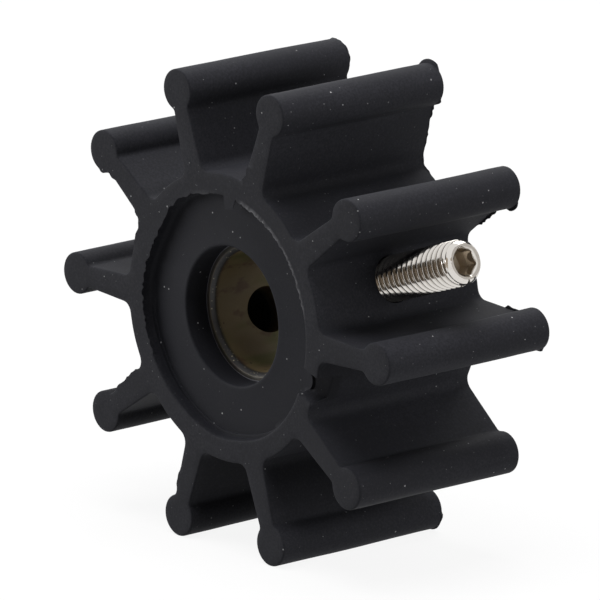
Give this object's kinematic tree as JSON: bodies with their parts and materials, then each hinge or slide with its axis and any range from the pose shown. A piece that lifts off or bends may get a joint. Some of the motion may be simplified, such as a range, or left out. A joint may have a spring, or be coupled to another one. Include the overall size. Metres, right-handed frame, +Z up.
{
  "type": "rubber pump impeller",
  "caption": "Flexible-vane rubber pump impeller with round-beaded vanes, a brass hub bush and a radial hex-socket drive screw.",
  "frame": {"origin": "centre of the shaft bore, half way between the wheel's two faces", "axes": "+Y along the shaft axis, from the notched front face to the back face; +Z up, with the wheel standing on two vanes; +X along one vane, and the drive screw points 20 degrees above +X"},
  "size_m": [0.065, 0.027, 0.062],
  "materials": {
    "black_rubber": "matt moulded rubber with dust specks",
    "aged_brass": "dull brass with brown stains",
    "bright_steel": "bright stainless steel, rolled thread"
  },
  "bodies": {
    "wheel": {"rubber_wheel": "black_rubber", "hub_bush": "aged_brass"},
    "screw": {"drive_screw": "bright_steel"}
  },
  "joints": [
    {"name": "screw_travel", "type": "slide", "parent": "wheel", "child": "screw", "axis": [0.9397, 0, 0.342], "range_m": [-0.0196, 0]}
  ]
}
